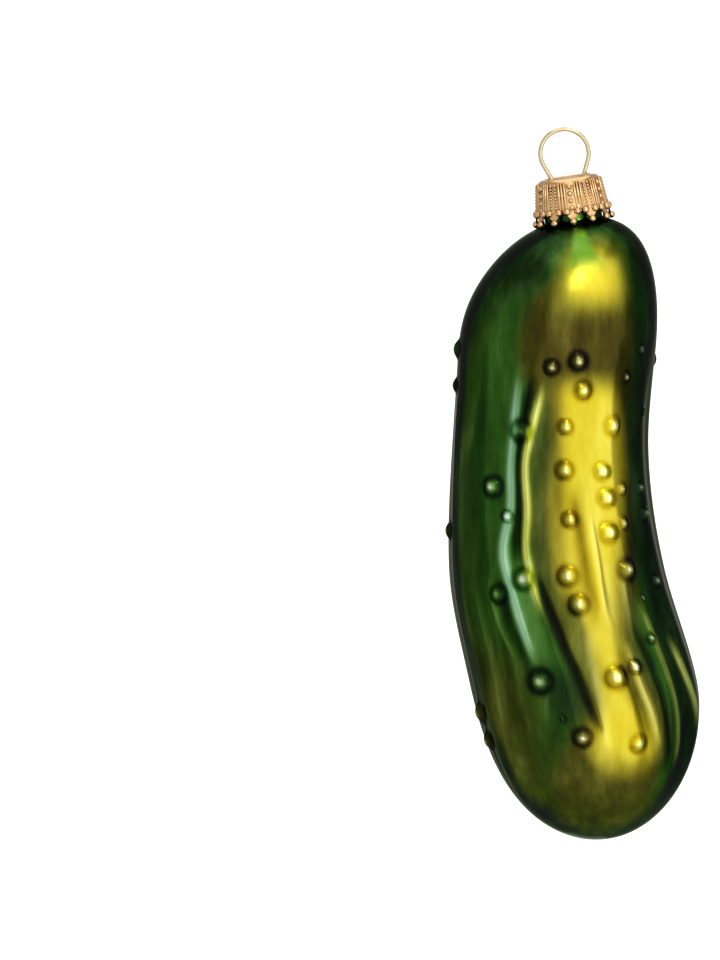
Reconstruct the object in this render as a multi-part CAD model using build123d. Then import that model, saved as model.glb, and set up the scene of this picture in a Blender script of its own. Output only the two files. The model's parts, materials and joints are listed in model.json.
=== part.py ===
from build123d import *
from math import asin, atan, cos, degrees, hypot, pi, radians, sin, sqrt, tan
import os

# A hollow blown-glass pickle, its beaded crown cap and its spring-wire hanger.
# Millimetres, as it hangs: +Z is up, the front faces -Y, and the origin is the inside
# of the wire loop's crown, where a hook bears.

# Wire hanger
WIRE_DIAMETER = 0.7
LOOP_RADIUS = 3.75  # centreline of the round loop
LOOP_RISE = 3.6  # loop centre above the cap's top
LEG_SPACING = 5.1  # between the legs where they enter the cap's top
WAIST_DROP = 1.6  # below the cap's top, where the legs turn outwards
WAIST_BEND = 1.2  # inside the cap, the radius of that turn
LEG_REACH = 11.0  # leg tips below the cap's top

# Crown cap
SHEET = 0.3
CAP_ROUND = 1.3  # outer radius between the top and the skirt
CAP_FLARE = 0.9  # how far the skirt's foot stands out from its top
LOBES = 12
LOBE_TIP = 0.8  # width of a lobe at its point
NOTCH_DEPTH = 1.9  # height of the notches between the lobes
RIB_WIDTH = 0.7  # at the ribs' foot, half as much at their crest
RIB_RISE = 0.18  # ribs' crest above the skirt at their lower end
RIB_TOP = 1.5  # top of the ribs below the cap's top
BEAD_RADIUS = 0.5
BEAD_SIDES = 6
BEAD_DRAFT = 18.0  # degrees that a bead's sides draw in
BEAD_RISE = 1.25  # paired beads above a lobe's point
BEAD_SPREAD = 8.4  # degrees from a lobe's middle to each paired bead
RIB_SPREAD = 7.5  # degrees from a lobe's middle to each rib, on every other lobe

# Glass neck
NECK_DIAMETER = 9.0
NECK_LENGTH = 6.2  # lip to foot
NECK_LEDGE = 0.4  # flat ring round the neck's foot
NECK_LEAN = 8.0  # degrees that the lip leans to -X
LIP_BEVEL_LIMIT = 0.9  # most of the wall that the lip's ground bevel may take

# Glass body
GLASS_WALL = 0.8
BODY_LENGTH = 96.8  # neck foot to tip
SHOULDER_RADIUS = 15.4
BELLY_RADIUS = 18.0
SHOULDER_DOME = 21.5  # depth over which the shoulder rounds out
SHOULDER_FULLNESS = 2.45  # 2 is an ellipse, more is squarer
TIP_DOME = 25.0  # height over which the tip rounds in
DEPTH_RATIO = 0.96  # front to back against side to side
# The centre line's share of the way down, and how far it is set to +X there
SPINE = ((0.0, 0.0), (0.2, -2.5), (0.37, -3.7), (0.56, -2.6), (0.78, 2.3), (1.0, 3.6))
SWELL = (0.32, 0.74)  # shares of the length between which the shoulder swells to the belly
LEAN_FADES = 0.2  # share of the length at which the sections no longer lean with the neck
# Where the sections lie down the length, closer at the two domes
LOFT_SHARES = (0, 0.02, 0.06, 0.13, 0.22, 0.34, 0.46, 0.58, 0.69, 0.79, 0.87, 0.93, 0.98)
HOLLOW_POINTS = 12  # points round each section of the hollow

# Glass ridges, with shallow flutes between them
FLUTE_DEPTH = 0.5
FLUTES_START = (0.16, 0.34)
FLUTES_END = (0.82, 0.97)
RIDGE_TWIST = 18.0  # degrees that the ridges turn from end to end
RIDGES = (-61, -36, -12, 15, 40, 67, 100, 137, 174, 211, 256)  # bearings from the front

# Glass warts: share of the length, bearing from the front, radius at the foot
FRONT_WARTS = (
    (0.209, -86, 1.6), (0.230, 13, 1.4), (0.277, 18, 1.4), (0.333, 39, 1.5), (0.341, -17, 1.6),
    (0.404, 9, 1.3), (0.430, -34, 1.5), (0.448, 34, 1.4), (0.473, 65, 1.2), (0.501, -85, 1.5),
    (0.503, 33, 1.5), (0.562, 41, 1.6), (0.572, 6, 1.5), (0.577, -18, 1.6), (0.601, -33, 1.4),
    (0.617, 9, 1.5), (0.733, 18, 1.7), (0.740, -21, 1.8), (0.795, -76, 1.8), (0.830, -4, 1.4),
    (0.840, 26, 1.4),
)
BACK_WARTS = 12
BACK_WART_SHARES = (0.2, 0.86)
BACK_BEARINGS = (104, 256)
BACK_WART_RADII = (1.6, 1.3, 1.5)
WART_RISE = 0.5  # height of a wart against its radius at the foot

# Clearances
NECK_GAP = 0.2  # cap round the neck and over its lip
FRINGE_GAP = 0.3  # lowest beads above the shoulder
HOLE_GAP = 0.1  # cap's holes round the legs
LEG_GAP = 0.2  # leg tips inside the neck's bore

FULL_TURN = 360  # degrees

wire_radius = WIRE_DIAMETER / 2
neck_radius = NECK_DIAMETER / 2
bore_radius = neck_radius - GLASS_WALL
cap_radius = neck_radius + NECK_GAP + SHEET
lobe_pitch = FULL_TURN / LOBES


def shoulder_drop(radius):
    """How far below the neck's foot the shoulder has rounded out to a radius."""
    share = (radius / SHOULDER_RADIUS) ** SHOULDER_FULLNESS
    return SHOULDER_DOME * (1 - (1 - share) ** (1 / SHOULDER_FULLNESS))


cap_foot = cap_radius + CAP_FLARE
lip_drop = SHEET + NECK_GAP
cap_skirt = lip_drop + NECK_LENGTH + shoulder_drop(cap_foot) - FRINGE_GAP - BEAD_RADIUS

# Where the leaning neck stands: its axis points up, and the cap's top is local zero
lean = radians(NECK_LEAN)
neck_axis = Vector(-sin(lean), 0, cos(lean))
cap_top = Vector(0, 0, wire_radius - LOOP_RADIUS) - neck_axis * LOOP_RISE
neck_foot = cap_top - neck_axis * (lip_drop + NECK_LENGTH)
on_neck = Location(cap_top, (0, -NECK_LEAN, 0))

# The legs run from the loop to the cap's holes in straight lines, so the loop sets their slant
leg_x = LEG_SPACING / 2
leg_to_centre = hypot(leg_x, LOOP_RISE)
leg_slant = asin(LOOP_RADIUS / leg_to_centre) - atan(leg_x / LOOP_RISE)


def smooth(value, start, end):
    """0 before start, 1 after end and a smooth rise between."""
    t = min(max((value - start) / (end - start), 0), 1)
    return t * t * (3 - 2 * t)


def wire_hanger():
    """A round loop whose legs draw in to the cap's holes and spread again in the neck."""
    straight = sqrt(leg_to_centre**2 - LOOP_RADIUS**2)
    touch = (leg_x + straight * sin(leg_slant), straight * cos(leg_slant))
    waist = (leg_x - WAIST_DROP * tan(leg_slant), -WAIST_DROP)
    tip = (bore_radius - LEG_GAP - wire_radius, -LEG_REACH)

    def leg(side):
        points = [(side * x, 0, z) for x, z in (tip, waist, touch)]
        return FilletPolyline(*points, radius=WAIST_BEND)

    crown = (0, 0, LOOP_RISE + LOOP_RADIUS)
    loop = ThreePointArc((touch[0], 0, touch[1]), crown, (-touch[0], 0, touch[1]))
    path = Wire([*leg(1).edges(), *loop.edges(), *leg(-1).edges()])
    section = Plane(path @ 0, z_dir=path % 0) * Circle(wire_radius)
    return on_neck * sweep(section, path=path)


def cap_profile(inset, skirt):
    """Half section of the cap's outside, or of its hollow a sheet further in."""
    slope = CAP_FLARE / cap_skirt
    top = cap_radius + slope * inset - inset
    foot = cap_radius + slope * skirt - inset
    outline = Polyline((0, -inset), (top, -inset), (foot, -skirt), (0, -skirt), close=True)
    face = Plane.XZ * make_face(outline)
    corner = face.vertices().sort_by_distance((top, 0, -inset))[0]
    return fillet(corner, CAP_ROUND - inset)


def cap_rib(bearing):
    """A bevelled rib that rises out of the skirt towards its foot."""
    low = cap_skirt - BEAD_RISE
    length = low - RIB_TOP
    slope = CAP_FLARE / cap_skirt
    bury = SHEET / 6
    back = cap_radius + slope * low - bury
    crest = RIB_RISE + bury
    half = RIB_WIDTH / 2
    section = Polyline((0, -half), (crest, -half / 2), (crest, half / 2), (0, half), close=True)
    lie = degrees(atan((slope * length + crest) / length))
    rib = extrude(make_face(section), length)
    return Rot(0, 0, bearing) * Pos(back, 0, -low) * Rot(0, -lie, 0) * rib


def cap_bead(bearing, height):
    """A faceted bead that stands out of the skirt, at a height above the lobes' points."""
    bury = SHEET / 2
    back = cap_foot - CAP_FLARE * height / cap_skirt - bury
    bead = extrude(RegularPolygon(BEAD_RADIUS, BEAD_SIDES), BEAD_RADIUS + bury, taper=BEAD_DRAFT)
    return Rot(0, 0, bearing) * Pos(back, 0, height - cap_skirt) * Rot(0, 90, 0) * bead


def cap_notch(bearing):
    """The wedge cut out of the skirt between two lobes."""
    half = pi * cap_foot / LOBES - LOBE_TIP / 2
    overrun = 2 * NOTCH_DEPTH
    apex = NOTCH_DEPTH - cap_skirt
    wedge = Polyline(
        (0, apex),
        (half * overrun / NOTCH_DEPTH, apex - overrun),
        (-half * overrun / NOTCH_DEPTH, apex - overrun),
        close=True,
    )
    cut = extrude(Plane.YZ * make_face(wedge), cap_foot + BEAD_RADIUS)
    return Rot(0, 0, bearing) * cut


def crown_cap():
    """A sheet cup with a ribbed skirt that ends in beaded lobes, and two holes for the wire."""
    front = -90
    hollow = revolve(cap_profile(SHEET, cap_skirt + 2 * BEAD_RADIUS), Axis.Z)
    cap = revolve(cap_profile(0, cap_skirt), Axis.Z) - hollow
    cap -= [cap_notch(front + (i + 0.5) * lobe_pitch) for i in range(LOBES)]
    trim = []
    for i in range(LOBES):
        middle = front + i * lobe_pitch
        spreads = (-RIB_SPREAD, RIB_SPREAD) if i % 2 else (0,)
        trim += [cap_rib(middle + spread) for spread in spreads]
        trim += [cap_bead(middle + side * BEAD_SPREAD, BEAD_RISE) for side in (-1, 1)]
        trim.append(cap_bead(middle, 0))
    cap += [piece - hollow for piece in trim]
    hole_x = leg_x - SHEET / 2 * tan(leg_slant)
    hole_radius = (wire_radius + SHEET / 2 * sin(leg_slant)) / cos(leg_slant) + HOLE_GAP
    cap -= [Pos(side * hole_x, 0, 0) * Cylinder(hole_radius, 3 * SHEET) for side in (-1, 1)]
    return on_neck * cap


def girth(depth, inset):
    """Half width of the glass at a depth below the neck's foot, or of its hollow a wall further in."""
    length = BODY_LENGTH - 2 * inset
    down = min(max(depth - inset, 0), length)
    radius = SHOULDER_RADIUS + (BELLY_RADIUS - SHOULDER_RADIUS) * smooth(down / length, *SWELL) - inset
    from_dome = 1 - down / SHOULDER_DOME
    into_tip = 1 - (length - down) / TIP_DOME
    if from_dome > 0:
        radius *= (1 - from_dome**SHOULDER_FULLNESS) ** (1 / SHOULDER_FULLNESS)
    if into_tip > 0:
        radius *= sqrt(1 - into_tip**2)
    return radius


spine = Spline(*[neck_foot + Vector(set_x, 0, -share * BODY_LENGTH) for share, set_x in SPINE])


def spine_at(depth):
    """Centre of the glass at a depth below the neck's foot."""
    low, high = 0.0, 1.0
    for _ in range(40):
        middle = (low + high) / 2
        if neck_foot.Z - (spine @ middle).Z < depth:
            low = middle
        else:
            high = middle
    return spine @ low


def tilt_at(depth):
    """How far a section leans: with the neck at the top and not at all further down."""
    return lean * (1 - smooth(depth / BODY_LENGTH, 0, LEAN_FADES))


def on_glass(depth, bearing, radius):
    """A point at a radius from the centre line, in the section's own leaning plane."""
    tilt = tilt_at(depth)
    across = radius * sin(radians(bearing))
    back = -radius * DEPTH_RATIO * cos(radians(bearing))
    return spine_at(depth) + Vector(across * cos(tilt), back, across * sin(tilt))


def ring(points):
    """A smooth closed outline whose parameters run evenly, so that all rings of a loft agree."""
    even = [i / len(points) for i in range(len(points) + 1)]
    return make_face(Edge.make_spline(points, periodic=True, parameters=even))


def hollow_section(depth):
    """The oval outline of the glass's hollow at a depth below the neck's foot."""
    radius = girth(depth, GLASS_WALL)
    bearings = [i * FULL_TURN / HOLLOW_POINTS for i in range(HOLLOW_POINTS)]
    return ring([on_glass(depth, bearing, radius) for bearing in bearings])


def flutes_at(depth):
    """Each flute's two ridges at a depth, in bearings from the front, and how deep the flutes are."""
    share = depth / BODY_LENGTH
    turn = RIDGE_TWIST * (share - 0.5)
    ridges = [bearing + turn for bearing in RIDGES]
    flute = FLUTE_DEPTH * smooth(share, *FLUTES_START) * (1 - smooth(share, *FLUTES_END))
    return list(zip(ridges, (*ridges[1:], ridges[0] + FULL_TURN))), flute


def fluted_section(depth):
    """The closed outline of the glass's outside at a depth below the neck's foot."""
    pairs, flute = flutes_at(depth)
    radius = girth(depth, 0)
    points = []
    for start, end in pairs:
        points.append(on_glass(depth, start, radius))
        points.append(on_glass(depth, (start + end) / 2, radius - flute))
    return ring(points)


def loft_down(section, first, last, ruled=False):
    """A loft down the spine, from a ring at the first depth to a rounded tip at the last."""
    depths = [first + (last - first) * share for share in LOFT_SHARES]
    return loft([*[section(depth) for depth in depths], Vertex(*spine_at(last))], ruled)


def fluted_radius(depth, bearing):
    """Half width of the glass at a depth and a bearing, with its flutes."""
    pairs, flute = flutes_at(depth)
    around = (bearing - pairs[0][0]) % FULL_TURN + pairs[0][0]
    start, end = next(pair for pair in pairs if pair[0] <= around < pair[1])
    return girth(depth, 0) - flute * sin(pi * (around - start) / (end - start)) ** 2


def wart(share, bearing, foot):
    """A round wart that stands out of the glass, with its pole facing out."""
    depth = share * BODY_LENGTH
    rise = WART_RISE * foot
    radius = (foot**2 + rise**2) / (2 * rise)
    centre = on_glass(depth, bearing, fluted_radius(depth, bearing) + rise - radius)
    outwards = (sin(radians(bearing)), -cos(radians(bearing)), 0)
    return Plane(centre, z_dir=outwards) * Sphere(radius)


def back_warts():
    """Warts spread over the back by an even, golden-angle scatter."""
    golden = (sqrt(5) - 1) / 2
    share_low, share_high = BACK_WART_SHARES
    low, high = BACK_BEARINGS
    for i in range(BACK_WARTS):
        share = share_low + (share_high - share_low) * (i + 0.5) / BACK_WARTS
        bearing = low + (high - low) * (i * golden % 1)
        yield share, bearing, BACK_WART_RADII[i % len(BACK_WART_RADII)]


def glass_pickle():
    """A fluted, warted shell of blown glass with an open neck."""
    body = loft_down(fluted_section, shoulder_drop(neck_radius + NECK_LEDGE), BODY_LENGTH)
    hollow_top = GLASS_WALL + shoulder_drop(bore_radius)
    hollow = loft_down(hollow_section, hollow_top, BODY_LENGTH - GLASS_WALL, ruled=True)
    below_foot = GLASS_WALL + shoulder_drop(neck_radius + NECK_LEDGE)
    hang_down = Align.CENTER, Align.CENTER, Align.MAX
    neck = Pos(0, 0, -lip_drop) * Cylinder(neck_radius, NECK_LENGTH + below_foot, align=hang_down)
    bevel = min(CAP_ROUND - lip_drop, LIP_BEVEL_LIMIT * GLASS_WALL)
    neck = chamfer(neck.edges().filter_by(GeomType.CIRCLE).sort_by(Axis.Z)[-1], bevel)
    bore = Cylinder(bore_radius, lip_drop + NECK_LENGTH + 2 * below_foot, align=hang_down)
    warts = [wart(*spot) for spot in (*FRONT_WARTS, *back_warts())]
    return body + warts - hollow + on_neck * neck - on_neck * bore


os.makedirs("parts", exist_ok=True)
for make in (wire_hanger, crown_cap, glass_pickle):
    export_step(make(), f"parts/{make.__name__}.step")
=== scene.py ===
import json
from math import atan, cos, pi, radians, sin

import bmesh
import bpy
import numpy as np
from mathutils import Matrix, Vector


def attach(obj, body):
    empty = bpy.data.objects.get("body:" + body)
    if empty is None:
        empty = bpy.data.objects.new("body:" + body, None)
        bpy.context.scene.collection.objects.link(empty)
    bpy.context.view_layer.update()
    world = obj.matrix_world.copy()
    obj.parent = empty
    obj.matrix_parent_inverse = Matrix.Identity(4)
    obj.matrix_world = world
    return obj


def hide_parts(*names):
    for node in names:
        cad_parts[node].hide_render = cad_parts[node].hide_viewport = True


# A hollow blown-glass pickle, its beaded crown cap and its wire loop, as they hang.
# Metres: +Z is up, the front faces -Y, and the origin is where a hook bears in the loop.
# Bearings are in degrees from the front, towards +X. A share is the way down the body's length.

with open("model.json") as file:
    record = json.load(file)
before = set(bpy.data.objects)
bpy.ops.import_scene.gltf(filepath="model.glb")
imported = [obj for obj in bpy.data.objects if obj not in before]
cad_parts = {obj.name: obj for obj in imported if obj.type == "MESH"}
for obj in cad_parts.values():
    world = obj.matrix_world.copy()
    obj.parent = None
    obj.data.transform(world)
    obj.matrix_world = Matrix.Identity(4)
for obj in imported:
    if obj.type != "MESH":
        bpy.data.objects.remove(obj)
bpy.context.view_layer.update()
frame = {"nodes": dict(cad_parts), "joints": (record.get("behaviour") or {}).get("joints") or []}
MM = 0.001

# Glass
WALL = 0.8 * MM
NECK_RADIUS = 4.5 * MM
NECK_LENGTH = 6.2 * MM
BODY_LENGTH = 96.8 * MM  # neck foot to tip
SHOULDER_RADIUS = 15.4 * MM
BELLY_RADIUS = 18.0 * MM
SHOULDER_DOME = 21.5 * MM  # depth over which the shoulder rounds out
SHOULDER_FULLNESS = 2.45  # 2 is an ellipse, more is squarer
TIP_DOME = 25.0 * MM  # height over which the tip rounds in
FOOT_FILLET = 5  # higher is a tighter fillet between neck and shoulder
DEPTH_RATIO = 0.96  # front to back against side to side
SWELL = (0.32, 0.74)  # shares between which the shoulder swells to the belly
LEAN_FADES = 0.2  # share at which the sections no longer lean with the neck
# Share, and how far the centre line is set to +X there in millimetres
SPINE = ((0.0, 0.0), (0.2, -2.5), (0.37, -3.7), (0.56, -2.6), (0.78, 2.3), (1.0, 3.6))
AROUND, DOWN = 300, 264  # faces round the glass and down it
HOLLOW_RINGS = 48
OUTLINE_SAMPLES = 2000  # steps in which the way along the outline is measured
LIP_ROUND = WALL / 4  # the rounded lip above the neck's end, and in from its two sides
HOLLOW_END = BODY_LENGTH - 1.5 * WALL  # depth of the hollow's tip

# Broad flutes between ridges that turn slowly down the glass
FLUTE_DEPTH = 0.5 * MM
FLUTES_START = (0.16, 0.34)  # shares between which they deepen
FLUTES_END = (0.82, 0.97)  # and run out
RIDGE_TWIST = 18  # degrees from end to end
RIDGES = (-61, -36, -12, 15, 40, 67, 100, 137, 174, 211, 256)  # bearings

# Creases: height (a groove is negative) and half width in millimetres, then shares and bearings
LEFT_RIDGE = (
    (0.25, -21), (0.33, -22), (0.40, -23), (0.46, -23), (0.53, -28), (0.61, -25), (0.71, -22),
)
LEFT_GROOVE = ((0.27, -14), (0.33, -16), (0.40, -18), (0.47, -18), (0.55, -21))
GOLD_RIDGE = (
    (0.28, -7), (0.33, -10), (0.39, -14), (0.47, -13), (0.53, -15), (0.58, -13), (0.62, -12),
)
BLADE_GROOVE = (
    (0.58, -10), (0.65, -5.5), (0.69, -4), (0.72, -2), (0.76, 0), (0.80, 3), (0.82, 5),
)
FAN_RIDGES = (
    ((0.69, 29), (0.75, 31), (0.80, 35), (0.84, 38)),
    ((0.62, 45), (0.70, 48), (0.80, 52), (0.87, 55)),
    ((0.68, 61), (0.73, 65), (0.80, 72)),
)
CREASES = (
    # The front, from left to right
    (0.12, 0.9, ((0.30, -74), (0.50, -72), (0.70, -74), (0.90, -77))),
    (0.14, 0.8, ((0.34, -62), (0.50, -60), (0.70, -61), (0.92, -66))),
    (0.12, 0.8, ((0.60, -50), (0.72, -49), (0.86, -53))),
    (0.24, 0.8, ((0.59, -39), (0.64, -37), (0.70, -32))),
    (-0.26, 1.3, ((0.58, -32), (0.64, -30), (0.71, -26))),
    (0.36, 1.1, LEFT_RIDGE),
    (-0.34, 1.2, LEFT_GROOVE),
    (0.18, 0.5, ((0.745, -15), (0.765, -19), (0.80, -22))),
    (0.38, 1.0, GOLD_RIDGE),
    (-0.44, 1.0, BLADE_GROOVE),
    (0.24, 1.4, ((0.66, 9), (0.69, 7.5), (0.75, 7), (0.79, 7), (0.85, 8))),
    (-0.28, 1.1, ((0.46, 14), (0.50, 16), (0.56, 17), (0.61, 18))),
    (0.22, 0.8, ((0.48, 23), (0.55, 24), (0.63, 22))),
    (0.26, 0.7, ((0.57, 37), (0.66, 34))),
    (-0.24, 1.3, ((0.70, 24), (0.75, 26), (0.80, 29), (0.83, 32))),
    (0.28, 1.0, FAN_RIDGES[0]),
    (-0.26, 0.8, ((0.65, 36), (0.72, 40), (0.80, 44), (0.86, 47))),
    (0.26, 1.0, FAN_RIDGES[1]),
    (0.30, 1.0, FAN_RIDGES[2]),
    # The back
    (0.26, 0.9, ((0.28, 108), (0.42, 104), (0.56, 110), (0.70, 116), (0.82, 114))),
    (-0.26, 0.9, ((0.40, 126), (0.55, 131), (0.72, 128))),
    (0.30, 1.0, ((0.24, 150), (0.36, 146), (0.50, 152), (0.66, 160), (0.84, 158))),
    (-0.28, 0.9, ((0.34, 176), (0.50, 180), (0.66, 186))),
    (0.28, 1.0, ((0.30, 205), (0.44, 200), (0.60, 208), (0.80, 214))),
    (0.24, 0.9, ((0.26, 238), (0.44, 234), (0.62, 240), (0.78, 246))),
    (-0.24, 0.9, ((0.48, 256), (0.62, 260), (0.78, 258))),
)
CREASE_FADE = 0.03  # share over which a crease runs out

# Warts: share, bearing, radius at the foot in millimetres
WARTS = (
    (0.209, -86, 1.6), (0.230, 13, 1.4), (0.277, 18, 1.4), (0.333, 39, 1.5), (0.341, -17, 1.6),
    (0.404, 9, 1.3), (0.430, -34, 1.5), (0.448, 34, 1.4), (0.473, 65, 1.2), (0.501, -85, 1.5),
    (0.503, 33, 1.5), (0.562, 41, 1.6), (0.572, 6, 1.5), (0.577, -18, 1.6), (0.601, -33, 1.4),
    (0.617, 9, 1.5), (0.733, 18, 1.7), (0.740, -21, 1.8), (0.795, -76, 1.8), (0.830, -4, 1.4),
    (0.840, 26, 1.4),
)
SMALL_WARTS = (
    (0.210, 58, 0.8), (0.240, -2, 1.1), (0.255, 47, 0.8), (0.267, -84, 1.3), (0.310, 68, 0.8),
    (0.335, 9, 1.1), (0.406, 32, 1.3), (0.432, 63, 0.9), (0.433, 46, 1.0), (0.477, -25, 0.9),
    (0.482, 11, 1.2), (0.488, 44, 1.0), (0.580, 64, 1.0), (0.606, 48, 0.5), (0.672, 44, 0.8),
    (0.716, 30, 1.1), (0.800, -13, 0.5), (0.840, -77, 1.6),
)
BACK_WARTS = 12
BACK_WART_SHARES = (0.2, 0.86)
BACK_BEARINGS = (104, 256)
BACK_WART_RADII = (1.6, 1.3, 1.5)
WART_RISE = 0.5  # height of a wart against its radius at the foot
WART_SOFT = 0.16  # softness of the fillet round its foot
SIGHT_LIFT = 0.012  # share by which what is in front lies higher than it looks from slightly above

# Painted highlights and painted shade, as a power on the lacquer's colour: twice the power squares it
CROWN_THIN, CROWN_WIDTH = 0.95, 0.4  # painted highlight on a wart's crown; width against the foot's radius
FOOT_POOL, POOL_WIDTH = 1.0, 0.3  # painted shadow round its foot at the front and back, less on the flanks
CREST_THIN, GROOVE_POOL = 1.5, 2.6  # painted highlight on a crest and painted shade in a groove, for each millimetre of a crease's height
FILM_LIMITS = (0.06, 3.0)  # lowest and highest power

# Airbrushed lacquer, with painted shade and painted highlights laid in among its colours: colour,
# cover, then the bearings and the shares between which it lies, each with the softness of its edges. A
# pair of lines in place of two bearings gives each edge by share.
GOLD_LEFT = (
    (0.26, 3), (0.36, 6), (0.45, 6), (0.57, 4), (0.64, 8), (0.71, 10), (0.77, 8), (0.84, 2),
    (0.92, 6),
)
GOLD_RIGHT = (
    (0.26, 36), (0.36, 48), (0.47, 44), (0.58, 33), (0.68, 24), (0.76, 24), (0.84, 35),
    (0.92, 32),
)
BLADE_RIGHT = ((0.58, 5), (0.65, 9), (0.70, 8), (0.75, 7), (0.82, 7))
OLIVE_LEFT = (
    (0.06, -4), (0.14, -20), (0.22, -22), (0.28, -13), (0.60, -12), (0.70, -3), (0.80, -6),
    (0.90, -26),
)
OLIVE_RIGHT = ((0.06, 34), (0.14, 46), (0.30, 54), (0.50, 56), (0.70, 36), (0.80, 44), (0.95, 40))
STREAK_LEFT = ((0.0, 1), (0.03, 2), (0.06, 2), (0.09, -3))
STREAK_RIGHT = ((0.0, 14), (0.03, 15), (0.06, 20), (0.09, 30))
GREEN = "#305a18"  # the coat under all the others
AIRBRUSH = (
    ("#2b3010", 0.90, (-140, -56), 20, (0.03, 0.98), 0.05),  # left flank, its lacquer deepened by painted shade
    ("#1d3416", 0.90, (-120, -12), 14, (0.00, 0.12), 0.06),  # left shoulder, in painted shade
    ("#464a10", 0.85, (-72, -26), 16, (0.70, 0.95), 0.07),  # olive at the lower left
    ("#4c4a10", 1.00, (OLIVE_LEFT, OLIVE_RIGHT), 8, (0.10, 0.96), 0.04),  # olive round the gold
    ("#3c4814", 0.90, (-12, 4), 5, (0.30, 0.62), 0.04),  # green hollow left of the gold, darkened by painted shade
    ("#5f9440", 0.60, (-23, -12), 4, (0.54, 0.71), 0.03),  # painted highlight on the green side of the blade groove
    ("#21391a", 0.80, (-20, -2), 6, (0.72, 0.80), 0.03),  # painted shade below it
    ("#1c321a", 0.95, (51, 118), 9, (0.02, 0.95), 0.05),  # right flank, its lacquer deepened by painted shade
    ("#284222", 0.95, (-200, 200), 1, (-0.10, 0.04), 0.03),  # painted shade below the cap, round the neck's foot
    ("#cdbe38", 1.00, (GOLD_LEFT, GOLD_RIGHT), 8, (0.265, 0.885), 0.03),  # gold stripe
    ("#585c1a", 0.90, (BLADE_GROOVE, BLADE_RIGHT), 2.5, (0.61, 0.79), 0.03),  # olive blade
    ("#85761c", 0.60, (11, 19), 4, (0.44, 0.64), 0.04),  # painted shade darkening the gold along a groove
    ("#94841e", 0.55, (-1, 7), 4, (0.42, 0.60), 0.05),  # painted shade darkening the gold at the left
    ("#43390a", 0.85, (-12, 40), 10, (0.165, 0.245), 0.03),  # painted shade above the gold
    ("#a89c2a", 0.95, (0, 38), 14, (0.055, 0.142), 0.03),  # painted highlight: gold on the shoulder
    ("#e0d040", 0.95, (8, 34), 16, (0.074, 0.130), 0.028),  # its bright middle, painted highlight
    ("#6f9e36", 0.90, (STREAK_LEFT, STREAK_RIGHT), 4, (-0.03, 0.080), 0.02),  # painted highlight: streak from the cap
    ("#4e5010", 0.80, (-200, 200), 1, (0.93, 1.10), 0.05),  # tip, all round
    ("#8f8222", 0.85, (150, 206), 20, (0.22, 0.88), 0.08),  # stripe on the back
)
BARE_GLASS = "#d9dcd8"
BARE_ABOVE = (-0.6, -0.25)  # shares of the neck between which the lacquer starts

# Painted highlights along ridges and painted shade along grooves: colour, cover, the crease, degrees to
# each side, softness, shares, softness
CREASE_PAINT = (
    ("#24401a", 0.70, LEFT_GROOVE, 3, 2, (0.28, 0.52), 0.03),
    ("#7cba84", 0.60, LEFT_RIDGE, 2.2, 2, (0.29, 0.68), 0.04),
    ("#b2ba38", 0.85, GOLD_RIDGE, 2, 1.5, (0.29, 0.61), 0.03),
    ("#2a3a14", 0.70, BLADE_GROOVE, 2, 2, (0.58, 0.80), 0.03),
    ("#b6ac3a", 0.65, FAN_RIDGES[0], 2, 2, (0.70, 0.84), 0.03),
    ("#7c8c2a", 0.65, FAN_RIDGES[1], 2, 2, (0.63, 0.86), 0.04),
    ("#a2ad3e", 0.75, FAN_RIDGES[2], 2.5, 2, (0.69, 0.80), 0.03),
)

# Cap
SHEET = 0.3 * MM
NECK_GAP = 0.2 * MM
FRINGE_GAP = 0.22 * MM  # lowest beads above the shoulder
CAP_FLARE = 0.9 * MM  # how far the skirt widens to its edge
CAP_ROUND = 1.3 * MM  # radius of the shoulder
ROUND_STEPS = 6  # faces over it
PLATE_RADIUS = 3.7 * MM  # the sunken round plate in the top
PLATE_DROP = 0.2 * MM
LOBES = 12
LOBE_STEPS = 12  # faces round each lobe
NOTCH_DEPTH = 1.9 * MM
SKIRT_ROWS = (1.5, 1, 0.67, 0.33, 0)  # above the skirt's edge, against the notches' depth
FRINGE_RADIUS = 0.58 * MM  # beads at the lobes' points
FRINGE_RISE = 1.25 * MM  # paired beads above a lobe's point
FRINGE_SPREAD = 8.4  # degrees from a lobe's middle to each paired bead
COLUMN_TOP = 0.8 * MM  # top of the ribs and bead columns below the cap's top
BIG_BEADS, BIG_BEAD_RADIUS = 4, 0.44 * MM  # the column of beads on every other lobe
FINE_BEADS, FINE_BEAD_RADIUS = 9, 0.25 * MM  # the two fine columns on the lobes between
FINE_SPREAD = 4.2  # degrees from the lobe's middle
RIB_BEARINGS = (9, 14, 19)  # smooth ribs, from a lobe with big beads
RIB_RADIUS = 0.22 * MM
BEAD_AROUND, BEAD_DOWN = 8, 6  # faces round a bead and down it
BEAD_SINK = 0.35  # share of its radius by which a bead or rib is sunk in the skirt
MERGE = 0.01 * MM  # points nearer than this become one
CAP_SHARP = 50  # degrees past which an edge of the cap is sharp

cap_radius = NECK_RADIUS + NECK_GAP + SHEET
cap_foot = cap_radius + CAP_FLARE
lip_drop = SHEET + NECK_GAP
foot_share = (cap_foot / SHOULDER_RADIUS) ** SHOULDER_FULLNESS
shoulder_drop = SHOULDER_DOME * (1 - (1 - foot_share) ** (1 / SHOULDER_FULLNESS))
cap_skirt = lip_drop + NECK_LENGTH + shoulder_drop - FRINGE_GAP - FRINGE_RADIUS

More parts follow.
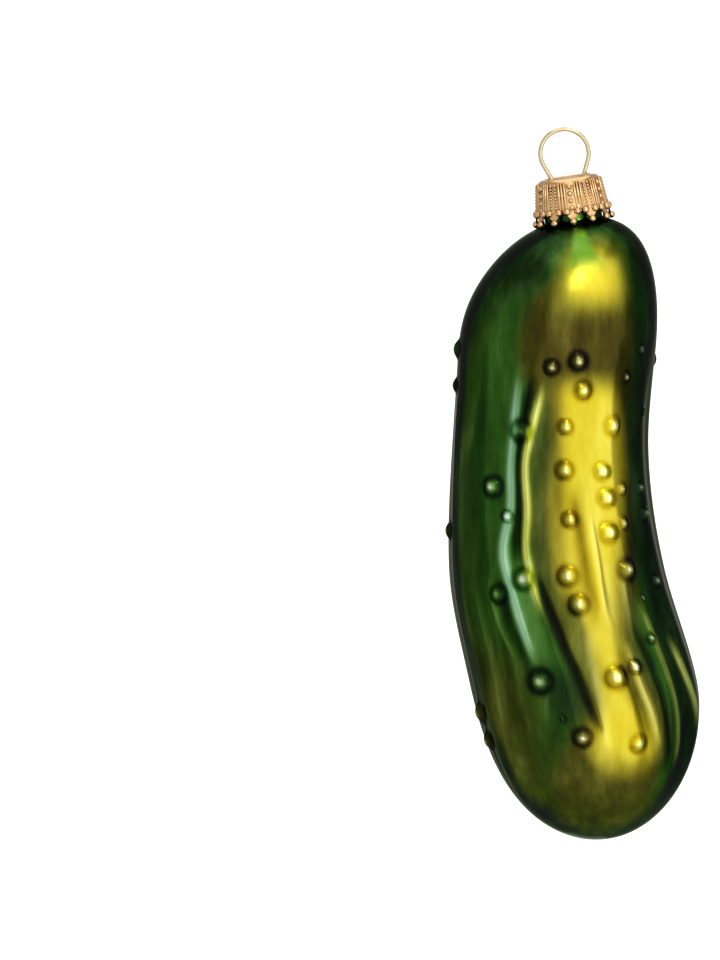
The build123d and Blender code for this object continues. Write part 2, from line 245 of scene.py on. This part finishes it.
# Sizes of the patterns in the materials
CLOUD_SIZE, CLOUD_STRETCH = 4 * MM, 0.28  # airbrushed clouds, drawn out down the glass
GRAIN_SIZE, GRAIN_HEIGHT = 0.45 * MM, 0.1 * MM  # grain of the dried lacquer
HAZE_SIZE = 3 * MM  # in the silvering
TONING_SIZE = 1.2 * MM  # on the cap's sheet
TONING_REACH = 1.2 * MM  # how near to its neighbours a hollow holds painted shade
DRAWN_SIZE = 0.6 * MM  # marks of drawing on the wire

# Studio, in metres
FLOOR_DROP = 1.05  # below the hook
FLOOR_RADIUS, FLOOR_SIDES = 25, 96
FLOOR_GAP = 2 * MM  # floor below the sweep's foot
SWEEP_FRONT, SWEEP_BACK = 1.1, 2.2  # the white paper sweep behind the ornament, in y
SWEEP_LEFT, SWEEP_RIGHT = -0.25, 0.10
SWEEP_BEND, BEND_STEPS = 0.4, 12
SWEEP_TOP = 0.6
FLOOR_GLOW, SWEEP_GLOW = 0.1, 0.9  # light added where the camera, metal or glass sees them
ROOM_LIGHT = 0.5
LIT_POINT = Vector((0.001, 0, -0.058))  # the middle of the glass, which the lamps face
# Lamps: azimuth and elevation in degrees, distance, width, height, radiance
LAMPS = {
    "key_softbox": (32, 4, 0.9, 1.9, 1.9, 1.0),
    "small_spot": (14, 38, 0.9, 0.2, 0.2, 8.0),
    "overhead_softbox": (10, 86, 0.8, 1.0, 1.4, 1.0),
    "left_fill": (-54, 5, 0.9, 1.1, 1.4, 0.32),
}

# Camera: the frame is 720 by 960 pixels, and the hook's point lies at HOOK in it
FRAME_WIDTH, FRAME_HEIGHT = 720, 960
HOOK = (564.5, 131.5)
PIXEL = 0.1555 * MM  # at the ornament
CAMERA_RISE = radians(4.5)  # above the level of the frame's middle
LENS, SENSOR = 400, 36
CLIP_END = 50  # past the floor's far edge
AIM_ROUNDS = 5  # each turns the camera nearer to its aim

joints = {joint["name"]: joint for joint in frame["joints"]}
neck_axis = -Vector(joints["neck_pull"]["axis"]).normalized()
across_neck = Vector(joints["cap_rock"]["axis"]).normalized()
cap_top = Vector(joints["cap_rock"]["pos_m"]) + neck_axis * SHEET / 2
neck_foot = cap_top - neck_axis * (lip_drop + NECK_LENGTH)
neck_lean = atan(-neck_axis.x / neck_axis.z)
on_neck = Matrix((across_neck, Vector((0, 1, 0)), neck_axis)).transposed().to_4x4()
on_neck.translation = cap_top


def smooth(value, start, end):
    """0 before start, 1 after end and a smooth rise between."""
    t = np.clip((value - start) / (end - start), 0, 1)
    return t * t * (3 - 2 * t)


def band(value, start, end, soft):
    """1 between start and end, with soft edges."""
    return smooth(value, start - soft, start + soft) * (1 - smooth(value, end - soft, end + soft))


def through(points, at):
    """A smooth line through points of (place, value), read at other places."""
    places, values = np.array(points, float).T
    slopes = np.gradient(values, places)
    at = np.clip(at, places[0], places[-1])
    i = np.clip(np.searchsorted(places, at) - 1, 0, len(places) - 2)
    span = places[i + 1] - places[i]
    t = (at - places[i]) / span
    rise = values[i + 1] - values[i]
    return (
        values[i]
        + rise * t * t * (3 - 2 * t)
        + span * t * (1 - t) * ((1 - t) * slopes[i] - t * slopes[i + 1])
    )


def linear(hex_colour):
    """Linear colour of an sRGB hex value."""
    parts = [int(hex_colour[i:i + 2], 16) / 255 for i in (1, 3, 5)]
    return (*[c / 12.92 if c <= 0.04045 else ((c + 0.055) / 1.055) ** 2.4 for c in parts], 1)


def girth(depth, inset):
    """Half width of the glass at a depth below the neck's foot, or of its hollow a wall further in."""
    length = BODY_LENGTH - 2 * inset
    down = np.clip(depth - inset, 0, length)
    swell = smooth(down / length, *SWELL)
    radius = SHOULDER_RADIUS + (BELLY_RADIUS - SHOULDER_RADIUS) * swell - inset
    dome = np.clip(1 - down / SHOULDER_DOME, 0, 1)
    tip = np.clip(1 - (length - down) / TIP_DOME, 0, 1)
    return radius * (1 - dome**SHOULDER_FULLNESS) ** (1 / SHOULDER_FULLNESS) * np.sqrt(1 - tip**2)


def outline(depth, inset=0):
    """Half width from the lip to the tip, with a fillet at the neck's foot."""
    neck = (NECK_RADIUS - inset) * (1 - smooth(depth, 0, SHOULDER_DOME))
    body = girth(depth, inset)
    return (neck**FOOT_FILLET + body**FOOT_FILLET) ** (1 / FOOT_FILLET)


def depth_ratio(depth):
    """Front to back against side to side: round at the neck, slightly flat below it."""
    return 1 - (1 - DEPTH_RATIO) * smooth(depth, 0, SHOULDER_DOME)


def on_glass(depth, turn, radius):
    """Points at a radius from the centre line, by depth below the neck's foot and turn in radians."""
    share = np.clip(depth / BODY_LENGTH, 0, 1)
    set_over = through(SPINE, share) * MM
    up_neck = np.clip(-depth, 0, None)
    tilt = neck_lean * (1 - smooth(share, 0, LEAN_FADES))
    across = radius * np.sin(turn)
    return np.stack((
        neck_foot.x + neck_axis.x * up_neck + set_over + across * np.cos(tilt),
        -radius * depth_ratio(depth) * np.cos(turn),
        neck_foot.z + neck_axis.z * up_neck - np.clip(depth, 0, None) + across * np.sin(tilt),
    ), axis=-1)


def even_depths(way):
    """Depths that lie evenly along the outline, from the lip at 0 to the tip at 1."""
    swing = np.linspace(0, pi, OUTLINE_SAMPLES)
    depth = -NECK_LENGTH + (BODY_LENGTH + NECK_LENGTH) * (1 - np.cos(swing)) / 2
    steps = np.hypot(np.diff(depth), np.diff(outline(depth)))
    run = np.concatenate(([0], np.cumsum(steps)))
    return np.interp(way * run[-1], run, depth)


def flutes(share, turn):
    """Shallow hollows between the broad ridges."""
    depth = FLUTE_DEPTH * smooth(share, *FLUTES_START) * (1 - smooth(share, *FLUTES_END))
    ends = np.array((*RIDGES, RIDGES[0] + 360))
    around = np.degrees(turn) - RIDGE_TWIST * (share - 0.5)
    around = (around - ends[0]) % 360 + ends[0]
    i = np.clip(np.searchsorted(ends, around) - 1, 0, len(RIDGES) - 1)
    between = (around - ends[i]) / (ends[i + 1] - ends[i])
    return -depth * np.sin(pi * between) ** 2


def creases(share, turn, radius):
    """Narrow ridges and grooves that run down the glass."""
    total = np.zeros_like(share)
    for height, half_width, points in CREASES:
        line = np.radians(through(points, share))
        aside = radius * ((turn - line + pi) % (2 * pi) - pi) / (half_width * MM)
        fade = band(share, points[0][0], points[-1][0], CREASE_FADE)
        total += height * MM * fade / (1 + aside**2) ** 2
    return total


def wart_spots():
    """The warts of the front, then an even golden-angle scatter over the back."""
    yield from WARTS + SMALL_WARTS
    golden = (5**0.5 - 1) / 2
    share_low, share_high = BACK_WART_SHARES
    low, high = BACK_BEARINGS
    for i in range(BACK_WARTS):
        share = share_low + (share_high - share_low) * (i + 0.5) / BACK_WARTS
        yield share, low + (high - low) * (i * golden % 1), BACK_WART_RADII[i % len(BACK_WART_RADII)]


def warts(places):
    """Heights of the round warts, and the power on the lacquer's colour: a painted highlight on each
    crown and painted shadow round each foot.
    """
    rise = np.zeros(len(places))
    film = np.zeros(len(places))
    for share, bearing, foot in wart_spots():
        depth = BODY_LENGTH * (share - SIGHT_LIFT * np.clip(cos(radians(bearing)), 0, 1))
        centre = on_glass(depth, radians(bearing), outline(depth))
        near = np.linalg.norm(places - centre, axis=1) / (foot * MM)
        rise += WART_RISE * foot * MM * WART_SOFT * np.logaddexp(0, (1 - near**2) / WART_SOFT)
        # Painted shadow round the foot, strongest at the front and back, and a painted highlight on the
        # crown
        pool = FOOT_POOL * abs(cos(radians(bearing)))
        film += pool * np.exp(-(((near - 1) / POOL_WIDTH) ** 2))
        film -= CROWN_THIN * np.exp(-((near / CROWN_WIDTH) ** 2))
    return rise, film


def beside(line, spread):
    """The two edges of a painted line that follows a crease, some degrees to each side of it."""
    return tuple(
        tuple((share, bearing + over) for share, bearing in line)
        for over in (-spread, spread)
    )


def edge_of(line, share):
    """A bearing that is the same all the way down, or one read from a line by share."""
    return through(line, share) if isinstance(line, tuple) else line


def lacquer_colour(share, turn, depth, film):
    """The airbrushed colours with painted shade and painted highlights among them, then paler on
    painted highlights and deeper in painted shade.
    """
    bearing = np.degrees(turn)
    down = np.where(depth > 0, share, depth / BODY_LENGTH)
    colour = np.tile(linear(GREEN)[:3], (len(share), 1))
    # Lines of painted highlight along the ridges and of painted shade along the grooves
    lines = (
        (paint, cover, beside(line, spread), *edges)
        for paint, cover, line, spread, *edges in CREASE_PAINT
    )
    for paint, cover, (left, right), soft, shares, share_soft in (*AIRBRUSH, *lines):
        start, end = edge_of(left, share), edge_of(right, share)
        middle = (start + end) / 2
        around = (bearing - middle + 180) % 360 - 180
        across = band(around, start - middle, end - middle, soft)
        mask = cover * across * band(down, *shares, share_soft)
        colour += mask[:, None] * (np.array(linear(paint)[:3]) - colour)
    # Painted highlights pale the colour and painted shade deepens it, as a power
    colour = colour ** np.clip(1 + film, *FILM_LIMITS)[:, None]
    bare = 1 - smooth(depth / NECK_LENGTH, *BARE_ABOVE)
    return colour + bare[:, None] * (np.array(linear(BARE_GLASS)[:3]) - colour)


def finish_mesh(name, bm, materials, sharp=None):
    """A named object from a bmesh, smooth but for edges sharper than an angle."""
    mesh = bpy.data.meshes.new(name)
    bm.to_mesh(mesh)
    bm.free()
    for finish in materials:
        mesh.materials.append(finish)
    mesh.shade_smooth()
    if sharp:
        mesh.set_sharp_from_angle(angle=radians(sharp))
    piece = bpy.data.objects.new(name, mesh)
    bpy.context.scene.collection.objects.link(piece)
    return piece


def vectors(points, name):
    """The places or normals of a mesh's points, one to a row."""
    flat = np.empty(len(points) * 3)
    points.foreach_get(name, flat)
    return flat.reshape(-1, 3)


def glass_shell(lacquer, silver):
    """The blown shell: outside from lip to tip, then the lip and the hollow behind it."""
    bm = bmesh.new()
    bmesh.ops.create_uvsphere(bm, u_segments=AROUND, v_segments=DOWN, radius=1)
    top = max(bm.verts, key=lambda vert: vert.co.z)
    bmesh.ops.delete(bm, geom=[top], context="VERTS")
    mesh = bpy.data.meshes.new("glass_form")
    bm.to_mesh(mesh)
    bm.free()
    x, y, z = vectors(mesh.vertices, "co").T
    first_ring = pi / DOWN
    way = (np.arccos(np.clip(z, -1, 1)) - first_ring) / (pi - first_ring)
    turn = np.arctan2(x, -y)
    depth = even_depths(way)
    share = np.clip(depth / BODY_LENGTH, 0, 1)
    radius = outline(depth)
    radius[way > 1 - 1e-6] = 0  # the tip is one point
    places = on_glass(depth, turn, radius)
    mesh.vertices.foreach_set("co", places.ravel())
    mesh.update()
    normals = vectors(mesh.vertex_normals, "vector")
    seen = share + SIGHT_LIFT * np.clip(np.cos(turn), 0, 1)
    crease = creases(seen, turn, radius)
    bumps, film = warts(places)
    rise = flutes(share, turn) + crease + bumps
    mesh.vertices.foreach_set("co", (places + normals * rise[:, None]).ravel())
    # Painted highlights along the crests and painted shade along the grooves
    film -= np.where(crease > 0, CREST_THIN, GROOVE_POOL) * crease / MM
    colour = lacquer_colour(seen, turn, depth, film)
    rgba = np.column_stack((colour, np.ones(len(colour))))
    # The lacquer's colour, painted highlights and painted shade included, kept on the points for the
    # material
    mesh.attributes.new("lacquer", "FLOAT_COLOR", "POINT").data.foreach_set("color", rgba.ravel())
    mesh.attributes.new("turn", "FLOAT", "POINT").data.foreach_set("value", turn)
    bm = bmesh.new()
    bm.from_mesh(mesh)
    bpy.data.meshes.remove(mesh)
    hollow_out(bm)
    return finish_mesh("glass_pickle_shell", bm, (lacquer, silver))


def hollow_out(bm):
    """Turns the lip inwards and runs the wall's inside down to the tip."""
    turn = bm.verts.layers.float["turn"]
    rim = [edge for edge in bm.edges if edge.is_boundary]
    lip = -NECK_LENGTH - LIP_ROUND
    rings = [(lip, NECK_RADIUS - LIP_ROUND), (lip, NECK_RADIUS - WALL + LIP_ROUND)]
    depths = np.minimum(even_depths(np.linspace(0, 1, HOLLOW_RINGS)), HOLLOW_END)
    rings += [(depth, outline(depth, WALL)) for depth in depths]
    for depth, radius in rings:
        made = bmesh.ops.extrude_edge_only(bm, edges=rim)["geom"]
        rim = [item for item in made if isinstance(item, bmesh.types.BMEdge) and item.is_boundary]
        ring = [item for item in made if isinstance(item, bmesh.types.BMVert)]
        for face in (item for item in made if isinstance(item, bmesh.types.BMFace)):
            face.material_index = 1
        places = on_glass(np.full(len(ring), depth), np.array([vert[turn] for vert in ring]), radius)
        for vert, place in zip(ring, places):
            vert.co = place
    bmesh.ops.pointmerge(bm, verts=ring, merge_co=places.mean(axis=0))
    bmesh.ops.recalc_face_normals(bm, faces=bm.faces)


def node(tree, kind, inputs, **settings):
    """Adds a node, or takes one that is there, with its settings, and sets or links its inputs."""
    made = tree.nodes.new(kind) if isinstance(kind, str) else kind
    for name, value in settings.items():
        setattr(made, name, value)
    for socket, value in inputs.items():
        if isinstance(value, bpy.types.NodeSocket):
            tree.links.new(value, made.inputs[socket])
        else:
            made.inputs[socket].default_value = value
    return made


def material(name):
    """A named material, its node tree and its principled shader."""
    made = bpy.data.materials.new(name)
    made.use_nodes = True
    return made, made.node_tree, made.node_tree.nodes["Principled BSDF"]


def mottled(tree, size, detail, dark, pale):
    """A noise of a size in the piece's own space, and the tone between two colours that follows it."""
    place = node(tree, "ShaderNodeTexCoord", {})
    noise = node(tree, "ShaderNodeTexNoise", {
        "Vector": place.outputs["Object"], "Scale": 1 / size, "Detail": detail,
    })
    # Sockets 0, 6 and 7 are the factor and the two colours, and output 2 the mixed colour
    tone = node(tree, "ShaderNodeMix", {
        0: noise.outputs["Fac"], 6: linear(dark), 7: linear(pale),
    }, data_type="RGBA")
    return noise.outputs["Fac"], tone.outputs[2]


def lacquered_glass():
    """Silvered glass under airbrushed transparent lacquer, which dries satin; its colours carry painted
    highlights and painted shade.
    """
    made, tree, shader = material("lacquered_silvered_glass")
    # The lacquer's colour from the mesh, painted highlights and painted shade included
    film = node(tree, "ShaderNodeAttribute", {}, attribute_name="lacquer")
    place = node(tree, "ShaderNodeTexCoord", {})
    # The airbrush leaves clouds: the film is thicker in some, which deepens its colour as a power
    drawn = node(tree, "ShaderNodeMapping", {
        "Vector": place.outputs["Object"], "Scale": (1, 1, CLOUD_STRETCH),
    })
    cloud = node(tree, "ShaderNodeTexNoise", {
        "Vector": drawn.outputs["Vector"], "Scale": 1 / CLOUD_SIZE, "Detail": 5, "Roughness": 0.62,
    })
    depth = node(tree, "ShaderNodeMapRange", {
        "Value": cloud.outputs["Fac"],
        "From Min": 0.25, "From Max": 0.75, "To Min": 1.45, "To Max": 0.75,
    })
    tone = node(tree, "ShaderNodeGamma", {
        "Color": film.outputs["Color"], "Gamma": depth.outputs["Result"],
    })
    satin = node(tree, "ShaderNodeMapRange", {
        "Value": cloud.outputs["Fac"], "To Min": 0.20, "To Max": 0.30,
    })
    # It dries with a fine grain
    grain = node(tree, "ShaderNodeTexNoise", {
        "Vector": place.outputs["Object"], "Scale": 1 / GRAIN_SIZE, "Detail": 2,
    })
    peel = node(tree, "ShaderNodeBump", {
        "Height": grain.outputs["Fac"], "Strength": 0.04, "Distance": GRAIN_HEIGHT,
    })
    node(tree, shader, {
        "Base Color": tone.outputs["Color"], "Metallic": 1.0, "Roughness": satin.outputs["Result"],
        "Normal": peel.outputs["Normal"], "Specular Tint": linear("#8c9a6c"),
        "Coat Weight": 0.12, "Coat Roughness": 0.12, "Coat IOR": 1.45,
    })
    return made


def silvering():
    """The mirror film on the inside of the glass, chemically laid, with a faint haze."""
    made, tree, shader = material("silvered_glass_inside")
    _, colour = mottled(tree, HAZE_SIZE, 4, "#c9ccc8", "#e6e8e4")
    node(tree, shader, {"Base Color": colour, "Metallic": 1.0, "Roughness": 0.22})
    return made


def gold_sheet():
    """Gold-toned brass sheet, stamped, bright on its beads with painted shade darkening its hollows."""
    made, tree, shader = material("gold_toned_brass")
    toning, bright = mottled(tree, TONING_SIZE, 4, "#c6945a", "#f2cc98")
    # Painted shade in the hollows, by ambient occlusion
    hollow = node(tree, "ShaderNodeAmbientOcclusion", {"Distance": TONING_REACH}, samples=8)
    colour = node(tree, "ShaderNodeMix", {
        0: hollow.outputs["AO"], 6: linear("#40230c"), 7: bright,
    }, data_type="RGBA")
    worn = node(tree, "ShaderNodeMapRange", {"Value": toning, "To Min": 0.12, "To Max": 0.22})
    node(tree, shader, {
        "Base Color": colour.outputs[2], "Metallic": 1.0, "Roughness": worn.outputs["Result"],
    })
    return made


def plated_wire():
    """Drawn spring wire with a pale brass plating, bright with faint drawing marks."""
    made, tree, shader = material("brass_plated_wire")
    drawn, colour = mottled(tree, DRAWN_SIZE, 3, "#bcab7e", "#e0d2aa")
    marks = node(tree, "ShaderNodeMapRange", {"Value": drawn, "To Min": 0.14, "To Max": 0.24})
    node(tree, shader, {
        "Base Color": colour, "Metallic": 1.0, "Roughness": marks.outputs["Result"],
    })
    return made


def skirt_radius(drop):
    """The cap's outer radius at a drop below its top."""
    return cap_radius + CAP_FLARE * drop / cap_skirt


def cap_sheet(bm):
    """The stamped cup: a sunken plate, a rounded shoulder and a skirt with a lobed edge."""
    quarter = [pi / 2 * (1 - i / ROUND_STEPS) for i in range(ROUND_STEPS + 1)]
    centre = cap_radius - CAP_ROUND
    outer = [(0, -PLATE_DROP), (PLATE_RADIUS - PLATE_DROP, -PLATE_DROP)]
    outer += [(centre + CAP_ROUND * cos(a), CAP_ROUND * (sin(a) - 1)) for a in quarter]
    drops = [cap_skirt - NOTCH_DEPTH * part for part in SKIRT_ROWS]
    outer += [(skirt_radius(drop), -drop) for drop in drops]
    inner = [(skirt_radius(drop) - SHEET, -drop) for drop in reversed(drops)]
    inner += [(cap_radius - SHEET, -CAP_ROUND), (centre, -PLATE_DROP - SHEET), (0, -PLATE_DROP - SHEET)]
    verts = [bm.verts.new((x, 0, z)) for x, z in outer + inner]
    edges = [bm.edges.new(pair) for pair in zip(verts, verts[1:])]
    bmesh.ops.spin(
        bm, geom=verts + edges, axis=(0, 0, 1), cent=(0, 0, 0), angle=2 * pi,
        steps=LOBES * LOBE_STEPS, use_merge=True,
    )
    bmesh.ops.remove_doubles(bm, verts=bm.verts, dist=MERGE)
    bmesh.ops.recalc_face_normals(bm, faces=bm.faces)
    for vert in bm.verts:
        below = 1 - (vert.co.z + cap_skirt) / NOTCH_DEPTH
        if below > 0:
            lobe = (np.arctan2(vert.co.x, -vert.co.y) / (2 * pi) * LOBES) % 1
            vert.co.z += NOTCH_DEPTH * below * 2 * min(lobe, 1 - lobe)


def stud(bm, bearing, top, low, radius, sink=BEAD_SINK):
    """A bead on the skirt, or a round-ended rib where top and low differ."""
    made = bmesh.ops.create_uvsphere(
        bm, u_segments=BEAD_AROUND, v_segments=BEAD_DOWN, radius=radius,
    )["verts"]
    for vert in made:
        vert.co.z += (low - top) / 2 if vert.co.z > 0 else (top - low) / 2
    middle = (top + low) / 2
    place = (
        Matrix.Rotation(radians(bearing), 4, "Z")
        @ Matrix.Translation((0, sink * radius - skirt_radius(middle), -middle))
        @ Matrix.Rotation(-atan(CAP_FLARE / cap_skirt), 4, "X")
    )
    bmesh.ops.transform(bm, matrix=place, verts=made)


def column(bm, bearing, beads, radius, low):
    """A column of beads from the shoulder down to a drop."""
    step = (low - COLUMN_TOP) / beads
    for i in range(beads):
        middle = COLUMN_TOP + (i + 0.5) * step
        stud(bm, bearing, middle, middle, radius)


def crown_cap(sheet):
    """The sheet cup with its ribs, its bead columns and its beaded lobes."""
    bm = bmesh.new()
    cap_sheet(bm)
    pitch = 360 / LOBES
    low = cap_skirt - FRINGE_RISE - FRINGE_RADIUS / 2
    for i in range(LOBES):
        lobe = i * pitch
        if i % 2:
            for side in (-1, 1):
                column(bm, lobe + side * FINE_SPREAD, FINE_BEADS, FINE_BEAD_RADIUS, low)
        else:
            column(bm, lobe, BIG_BEADS, BIG_BEAD_RADIUS, low)
            for rib in RIB_BEARINGS:
                for side in (-1, 1):
                    stud(bm, lobe + side * rib, COLUMN_TOP, low, RIB_RADIUS)
        for side in (-1, 1):
            stud(bm, lobe + side * FRINGE_SPREAD, low, low, FRINGE_RADIUS, sink=0)
        stud(bm, lobe, cap_skirt, cap_skirt, FRINGE_RADIUS, sink=0)
    bmesh.ops.transform(bm, matrix=on_neck, verts=bm.verts)
    return finish_mesh("beaded_crown_cap", bm, (sheet,), sharp=CAP_SHARP)


def stage_material(name, hex_colour, glow):
    """A pale matt surface, lifted to white where the camera, metal or glass sees it."""
    made, tree, shader = material(name)
    path = node(tree, "ShaderNodeLightPath", {})
    seen = node(tree, "ShaderNodeMath", {
        0: path.outputs["Is Camera Ray"], 1: path.outputs["Is Glossy Ray"],
    }, operation="MAXIMUM")
    seen = node(tree, "ShaderNodeMath", {
        0: seen.outputs[0], 1: path.outputs["Is Transmission Ray"],
    }, operation="MAXIMUM")
    lift = node(tree, "ShaderNodeMath", {0: seen.outputs[0], 1: glow}, operation="MULTIPLY")
    node(tree, shader, {
        "Base Color": linear(hex_colour), "Roughness": 0.9, "Specular IOR Level": 0.1,
        "Emission Color": linear("#ffffff"), "Emission Strength": lift.outputs[0],
    })
    return made


def studio():
    """A pale floor far below the ornament and a white paper sweep behind it."""
    bm = bmesh.new()
    bmesh.ops.create_circle(bm, cap_ends=True, segments=FLOOR_SIDES, radius=FLOOR_RADIUS)
    bmesh.ops.translate(bm, verts=bm.verts, vec=(0, 0, -FLOOR_DROP - FLOOR_GAP))
    finish_mesh("studio_floor", bm, (stage_material("pale_floor", "#e6e6e4", FLOOR_GLOW),))
    bm = bmesh.new()
    points = [(SWEEP_FRONT, -FLOOR_DROP)]
    for i in range(BEND_STEPS + 1):
        bend = pi / 2 * i / BEND_STEPS
        points.append((
            SWEEP_BACK - SWEEP_BEND * (1 - sin(bend)),
            -FLOOR_DROP + SWEEP_BEND * (1 - cos(bend)),
        ))
    points.append((SWEEP_BACK, SWEEP_TOP))
    verts = [bm.verts.new((SWEEP_LEFT, y, z)) for y, z in points]
    edges = [bm.edges.new(pair) for pair in zip(verts, verts[1:])]
    made = bmesh.ops.extrude_edge_only(bm, edges=edges)["geom"]
    moved = [item for item in made if isinstance(item, bmesh.types.BMVert)]
    bmesh.ops.translate(bm, verts=moved, vec=(SWEEP_RIGHT - SWEEP_LEFT, 0, 0))
    bmesh.ops.recalc_face_normals(bm, faces=bm.faces)
    finish_mesh("white_sweep", bm, (stage_material("white_paper", "#f4f4f2", SWEEP_GLOW),))


def softbox(name, azimuth, elevation, distance, width, height, radiance):
    """A rectangular area lamp that faces the middle of the ornament."""
    lamp = bpy.data.lights.new(name, "AREA")
    lamp.shape = "RECTANGLE"
    lamp.size, lamp.size_y = width, height
    lamp.energy = radiance * pi * width * height
    light = bpy.data.objects.new(name, lamp)
    az, el = radians(azimuth), radians(elevation)
    outwards = Vector((sin(az) * cos(el), -cos(az) * cos(el), sin(el)))
    light.location = LIT_POINT + outwards * distance
    light.rotation_euler = outwards.to_track_quat("Z", "Y").to_euler()
    bpy.context.scene.collection.objects.link(light)


def lights():
    """The lamps round the ornament and the even light of the room."""
    for name, place in LAMPS.items():
        softbox(name, *place)
    world = bpy.data.worlds.new("studio")
    world.use_nodes = True
    tree = world.node_tree
    node(tree, tree.nodes["Background"], {"Color": linear("#ffffff"), "Strength": ROOM_LIGHT})
    bpy.context.scene.world = world


def camera():
    """A long lens in front of the ornament, turned until the hook lies at its place in the frame."""
    data = bpy.data.cameras.new("camera")
    data.lens, data.sensor_width = LENS, SENSOR
    data.clip_end = CLIP_END
    distance = FRAME_HEIGHT * PIXEL * LENS / SENSOR
    middle = Vector((LIT_POINT.x, 0, (HOOK[1] - FRAME_HEIGHT / 2) * PIXEL))
    view = bpy.data.objects.new("camera", data)
    view.location = middle + distance * Vector((0, -cos(CAMERA_RISE), sin(CAMERA_RISE)))
    wanted = Vector((HOOK[0] - FRAME_WIDTH / 2, FRAME_HEIGHT / 2 - HOOK[1]))
    target = Vector()
    for _ in range(AIM_ROUNDS):
        turn = (view.location - target).to_track_quat("Z", "Y")
        hook = turn.inverted() @ -view.location
        scale = -hook.z * SENSOR / LENS / FRAME_HEIGHT
        miss = hook.xy - wanted * scale
        target += turn @ miss.to_3d()
    view.rotation_euler = turn.to_euler()
    bpy.context.scene.collection.objects.link(view)
    bpy.context.scene.camera = view


def dress():
    """Makes the pieces, puts each on its body and in its place, and gives the wire its finish."""
    shell = glass_shell(lacquered_glass(), silvering())
    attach(shell, "pickle")
    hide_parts("glass_pickle")
    cap = crown_cap(gold_sheet())
    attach(cap, "cap")
    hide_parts("crown_cap")
    wire = frame["nodes"]["wire_hanger"]
    wire.data.materials.clear()
    wire.data.materials.append(plated_wire())


dress()
studio()
lights()
camera()
bpy.context.scene.view_settings.view_transform = "Standard"
